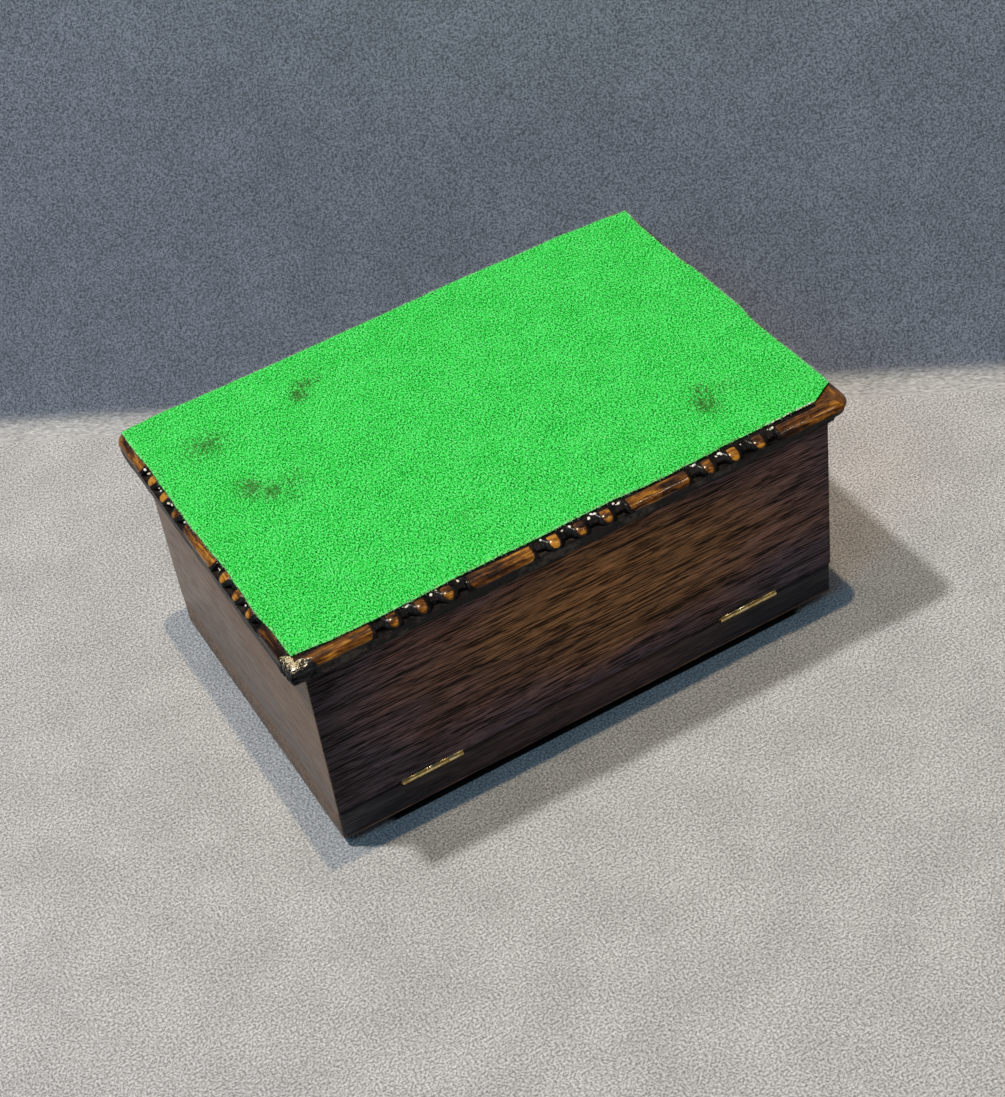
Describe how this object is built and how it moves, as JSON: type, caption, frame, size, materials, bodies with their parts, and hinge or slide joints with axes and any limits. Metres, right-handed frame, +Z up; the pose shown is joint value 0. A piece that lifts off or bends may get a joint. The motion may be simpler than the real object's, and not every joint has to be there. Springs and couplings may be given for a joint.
{
  "type": "hinged wooden cigarette box",
  "caption": "Dark oak box with a flush hinged lid, cedar lining and divider, a carved bead-and-reel base board and a green baize underside.",
  "frame": {"origin": "centre of the lid's raised field, on the surface that the upside-down box stands on (the bottom centre of the whole object's box)", "axes": "stored upside down on its closed lid, as pictured: +Z up, from the lid to the baize under the base; +X along the length; -Y towards the hinged back, +Y towards the front; for use the box is turned 180 degrees about X"},
  "size_m": [0.1788, 0.1192, 0.0815],
  "materials": {
    "dark_oak": "dark stained oak with a worn satin polish",
    "carved_oak": "amber varnish on the crests, black wax in the cuts",
    "cedar": "bare planed cedar",
    "green_baize": "bright green wool baize with worn marks",
    "hinge_brass": "pressed brass, aged",
    "steel_screw": "plain steel"
  },
  "bodies": {
    "lid": {"lid_board": "dark_oak", "lid_lining": "cedar", "left_lid_leaf": "hinge_brass", "right_lid_leaf": "hinge_brass", "left_hinge_pin": "hinge_brass", "right_hinge_pin": "hinge_brass", "lid_leaf_screws": "hinge_brass"},
    "case": {"front_panel": "dark_oak", "back_panel": "dark_oak", "left_end_panel": "dark_oak", "right_end_panel": "dark_oak", "base_board": "carved_oak", "base_screws": "steel_screw", "baize": "green_baize", "front_lining": "cedar", "back_lining": "cedar", "left_lining": "cedar", "right_lining": "cedar", "floor_lining": "cedar", "divider": "cedar", "left_case_leaf": "hinge_brass", "right_case_leaf": "hinge_brass", "case_leaf_screws": "hinge_brass"}
  },
  "joints": [
    {"name": "lid_hinge", "type": "hinge", "parent": "lid", "child": "case", "pos_m": [0, -0.0534, 0.0145], "axis": [1, 0, 0], "range_deg": [0, 95]}
  ]
}
